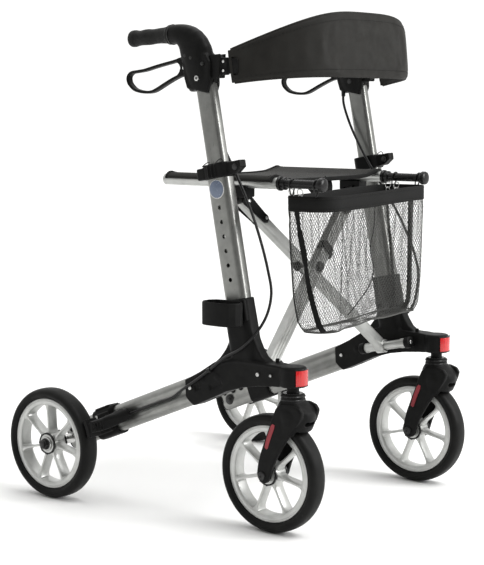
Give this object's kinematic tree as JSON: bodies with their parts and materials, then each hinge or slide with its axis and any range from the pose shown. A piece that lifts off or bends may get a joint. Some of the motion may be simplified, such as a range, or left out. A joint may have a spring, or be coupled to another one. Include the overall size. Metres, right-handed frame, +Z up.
{
  "type": "rollator walker",
  "caption": "Folding wheeled walker with a scissor frame, sling seat, curved back strap, loop hand brakes, swivel casters and a net bag.",
  "frame": {"origin": "on the floor, midway between the front and rear wheel axles and between the side frames", "axes": "+X is the travel direction, +Y is the user's left, +Z is up"},
  "size_m": [0.648, 0.642, 0.863],
  "materials": {
    "aluminium": "satin anodised",
    "black_plastic": "moulded, matt",
    "grip_rubber": "soft grip",
    "tyre": "matt",
    "rim": "silver-grey moulded",
    "reflector": "prismatic",
    "steel": "zinc plated",
    "seat_textile": "woven",
    "backrest_textile": "smooth padded",
    "net": "open net",
    "cable": "smooth sheath"
  },
  "bodies": {
    "frame_right": {"junction_right": "black_plastic", "lower_tube_right": "aluminium", "outer_tube_right": "aluminium", "collar_right": "black_plastic", "brake_housing_right": "black_plastic", "reflector_right": "reflector", "pivot_tube_right": "aluminium", "rear_axle_right": "steel", "brake_cable_right": "cable", "cane_cup_right": "black_plastic"},
    "handle_right": {"inner_tube_right": "aluminium", "handle_housing_right": "black_plastic", "grip_right": "grip_rubber", "backrest_bracket_right": "black_plastic", "backrest": "backrest_textile"},
    "lever_right": {"brake_lever_right": "black_plastic"},
    "shoe_right": {"brake_shoe_right": "black_plastic"},
    "button_right": {"snap_button_right": "steel"},
    "caster_right": {"caster_fork_right": "black_plastic", "front_axle_right": "steel"},
    "front_wheel_right": {"front_tyre_right": "tyre", "front_rim_right": "rim"},
    "rear_wheel_right": {"rear_tyre_right": "tyre", "rear_rim_right": "rim"},
    "frame_left": {"junction_left": "black_plastic", "lower_tube_left": "aluminium", "outer_tube_left": "aluminium", "collar_left": "black_plastic", "brake_housing_left": "black_plastic", "reflector_left": "reflector", "pivot_tube_left": "aluminium", "rear_axle_left": "steel", "brake_cable_left": "cable"},
    "handle_left": {"inner_tube_left": "aluminium", "handle_housing_left": "black_plastic", "grip_left": "grip_rubber", "backrest_bracket_left": "black_plastic"},
    "lever_left": {"brake_lever_left": "black_plastic"},
    "shoe_left": {"brake_shoe_left": "black_plastic"},
    "button_left": {"snap_button_left": "steel"},
    "caster_left": {"caster_fork_left": "black_plastic", "front_axle_left": "steel"},
    "front_wheel_left": {"front_tyre_left": "tyre", "front_rim_left": "rim"},
    "rear_wheel_left": {"rear_tyre_left": "tyre", "rear_rim_left": "rim"},
    "brace_b_set": {"brace_b": "aluminium", "seat_tube_left": "aluminium", "bag_sleeve_left": "black_plastic", "seat_bracket_left": "black_plastic", "brace_bolt": "steel", "seat": "seat_textile", "bag": "net"},
    "brace_a_set": {"brace_a": "aluminium", "seat_tube_right": "aluminium", "bag_sleeve_right": "black_plastic", "seat_bracket_right": "black_plastic"}
  },
  "joints": [
    {"name": "fold", "type": "hinge", "parent": "frame_right", "child": "brace_b_set", "pos_m": [0.1741, -0.19, 0.257], "axis": [0.977, 0, 0.213], "range_deg": [0, 35], "deforming": ["seat", "bag", "backrest"]},
    {"name": "brace_scissor", "type": "hinge", "parent": "brace_b_set", "child": "brace_a_set", "pos_m": [0.139, 0, 0.418], "axis": [0.977, 0, 0.213], "range_deg": [-70, 0], "deforming": ["seat", "bag", "backrest"]},
    {"name": "left_frame_pivot", "type": "hinge", "parent": "brace_a_set", "child": "frame_left", "pos_m": [0.1741, 0.19, 0.257], "axis": [0.977, 0, 0.213], "range_deg": [0, 35], "deforming": ["seat", "bag", "backrest"]},
    {"name": "handle_height_right", "type": "slide", "parent": "frame_right", "child": "handle_right", "axis": [-0.1908, 0, 0.9816], "range_m": [-0.0732, 0.0488], "deforming": ["brake_cable_right", "backrest"]},
    {"name": "height_button_right", "type": "slide", "parent": "handle_right", "child": "button_right", "axis": [0, 1, 0], "range_m": [0, 0.0035], "stiffness_N_per_m": 400},
    {"name": "brake_lever_right", "type": "hinge", "parent": "handle_right", "child": "lever_right", "pos_m": [0.038, -0.222, 0.77], "axis": [0, 1, 0], "range_deg": [0, 12], "stiffness_Nm_per_rad": 1.5},
    {"name": "brake_shoe_right", "type": "hinge", "parent": "frame_right", "child": "shoe_right", "pos_m": [-0.1, -0.247, 0.168], "axis": [0, 1, 0], "range_deg": [0, 4]},
    {"name": "caster_swivel_right", "type": "hinge", "parent": "frame_right", "child": "caster_right", "pos_m": [0.266, -0.222, 0.26], "axis": [0, 0, 1], "continuous": true},
    {"name": "front_wheel_spin_right", "type": "hinge", "parent": "caster_right", "child": "front_wheel_right", "pos_m": [0.224, -0.222, 0.1], "axis": [0, 1, 0], "continuous": true},
    {"name": "rear_wheel_spin_right", "type": "hinge", "parent": "frame_right", "child": "rear_wheel_right", "pos_m": [-0.224, -0.294, 0.1], "axis": [0, 1, 0], "continuous": true},
    {"name": "handle_height_left", "type": "slide", "parent": "frame_left", "child": "handle_left", "axis": [-0.1908, 0, 0.9816], "range_m": [-0.0732, 0.0488], "deforming": ["brake_cable_left", "backrest"]},
    {"name": "height_button_left", "type": "slide", "parent": "handle_left", "child": "button_left", "axis": [0, -1, 0], "range_m": [0, 0.0035], "stiffness_N_per_m": 400},
    {"name": "brake_lever_left", "type": "hinge", "parent": "handle_left", "child": "lever_left", "pos_m": [0.038, 0.222, 0.77], "axis": [0, 1, 0], "range_deg": [0, 12], "stiffness_Nm_per_rad": 1.5},
    {"name": "brake_shoe_left", "type": "hinge", "parent": "frame_left", "child": "shoe_left", "pos_m": [-0.1, 0.247, 0.168], "axis": [0, 1, 0], "range_deg": [0, 4]},
    {"name": "caster_swivel_left", "type": "hinge", "parent": "frame_left", "child": "caster_left", "pos_m": [0.266, 0.222, 0.26], "axis": [0, 0, 1], "continuous": true},
    {"name": "front_wheel_spin_left", "type": "hinge", "parent": "caster_left", "child": "front_wheel_left", "pos_m": [0.224, 0.222, 0.1], "axis": [0, 1, 0], "continuous": true},
    {"name": "rear_wheel_spin_left", "type": "hinge", "parent": "frame_left", "child": "rear_wheel_left", "pos_m": [-0.224, 0.294, 0.1], "axis": [0, 1, 0], "continuous": true}
  ],
  "couplings": [
    {"joint": "brace_scissor", "follows": "fold", "ratio": -2},
    {"joint": "left_frame_pivot", "follows": "fold", "ratio": 1},
    {"joint": "handle_height_left", "follows": "handle_height_right", "ratio": 1},
    {"joint": "brake_shoe_right", "follows": "brake_lever_right", "ratio": 0.33333},
    {"joint": "brake_shoe_left", "follows": "brake_lever_left", "ratio": 0.33333}
  ]
}
